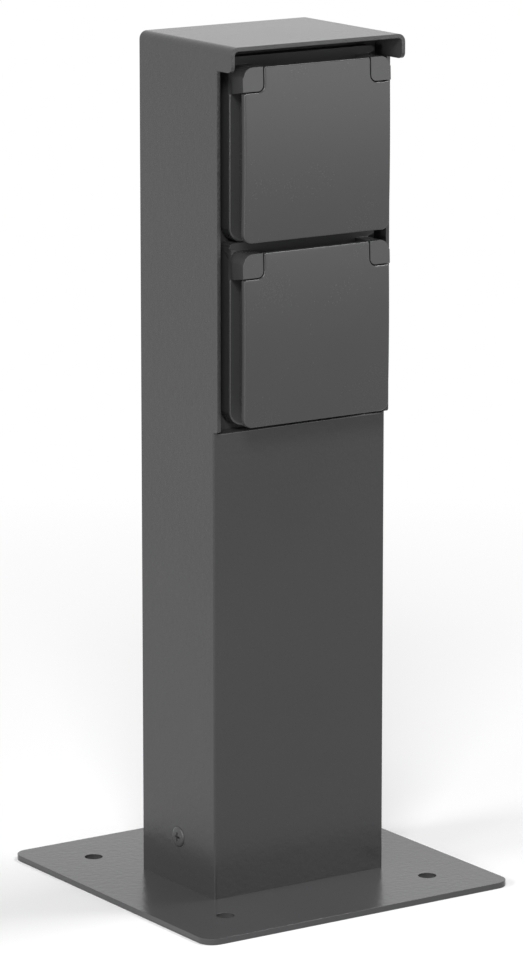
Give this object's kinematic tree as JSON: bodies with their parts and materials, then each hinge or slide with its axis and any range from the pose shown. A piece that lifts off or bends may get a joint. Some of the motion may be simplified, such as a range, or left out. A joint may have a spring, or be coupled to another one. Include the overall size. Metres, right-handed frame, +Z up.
{
  "type": "garden socket post",
  "caption": "Free-standing outdoor power post: a folded sheet housing with a rain visor on a bolt-down plate, with plug sockets under sprung flap lids.",
  "frame": {"origin": "middle of the base plate's underside", "axes": "+Z up, +Y to the back, the lids face -Y, and +X is to the right seen from the front"},
  "size_m": [0.18, 0.18, 0.422],
  "materials": {
    "powder_coat": "satin fine-texture anthracite powder coat",
    "screw_finish": "dark coated screw",
    "cover_plastic": "satin moulded anthracite plastic",
    "insert_plastic": "dark moulded plastic",
    "base_plastic": "pale moulded thermoset",
    "seal_rubber": "soft black foam rubber",
    "grommet_rubber": "black rubber",
    "zinc_steel": "bright zinc plate",
    "spring_steel": "drawn spring wire",
    "brass": "rolled brass",
    "live_wire": "brown wire jacket",
    "neutral_wire": "blue wire jacket",
    "earth_wire": "green and yellow wire jacket"
  },
  "bodies": {
    "post": {"base_plate": "powder_coat", "base_bracket": "zinc_steel", "weld_nuts": "zinc_steel", "side_screws": "screw_finish", "outer_shell": "powder_coat", "rear_panel": "powder_coat", "socket_panel": "powder_coat", "cable_grommet": "grommet_rubber", "earth_stud": "zinc_steel", "earth_nut": "zinc_steel", "earth_lead": "earth_wire", "live_link": "live_wire", "neutral_link": "neutral_wire", "earth_link": "earth_wire", "panel_screws": "zinc_steel", "centre_screws": "zinc_steel", "upper_frame": "cover_plastic", "upper_flange_seal": "seal_rubber", "upper_support_ring": "zinc_steel", "upper_insert": "insert_plastic", "upper_base": "base_plastic", "upper_contacts": "brass", "upper_earth_clip": "brass", "upper_hinge_pin": "zinc_steel", "upper_lid_spring": "spring_steel", "lower_frame": "cover_plastic", "lower_flange_seal": "seal_rubber", "lower_support_ring": "zinc_steel", "lower_insert": "insert_plastic", "lower_base": "base_plastic", "lower_contacts": "brass", "lower_earth_clip": "brass", "lower_hinge_pin": "zinc_steel", "lower_lid_spring": "spring_steel"},
    "upper_lid": {"upper_lid": "cover_plastic", "upper_lid_seal": "seal_rubber"},
    "lower_lid": {"lower_lid": "cover_plastic", "lower_lid_seal": "seal_rubber"}
  },
  "joints": [
    {"name": "upper_lid_hinge", "type": "hinge", "parent": "post", "child": "upper_lid", "pos_m": [0, -0.0472, 0.4078], "axis": [-1, 0, 0], "range_deg": [0, 100], "stiffness_Nm_per_rad": 0.03, "springref_deg": -34.38, "deforming": ["upper_lid_spring"]},
    {"name": "lower_lid_hinge", "type": "hinge", "parent": "post", "child": "lower_lid", "pos_m": [0, -0.0472, 0.3188], "axis": [-1, 0, 0], "range_deg": [0, 100], "stiffness_Nm_per_rad": 0.03, "springref_deg": -34.38, "deforming": ["lower_lid_spring"]}
  ]
}
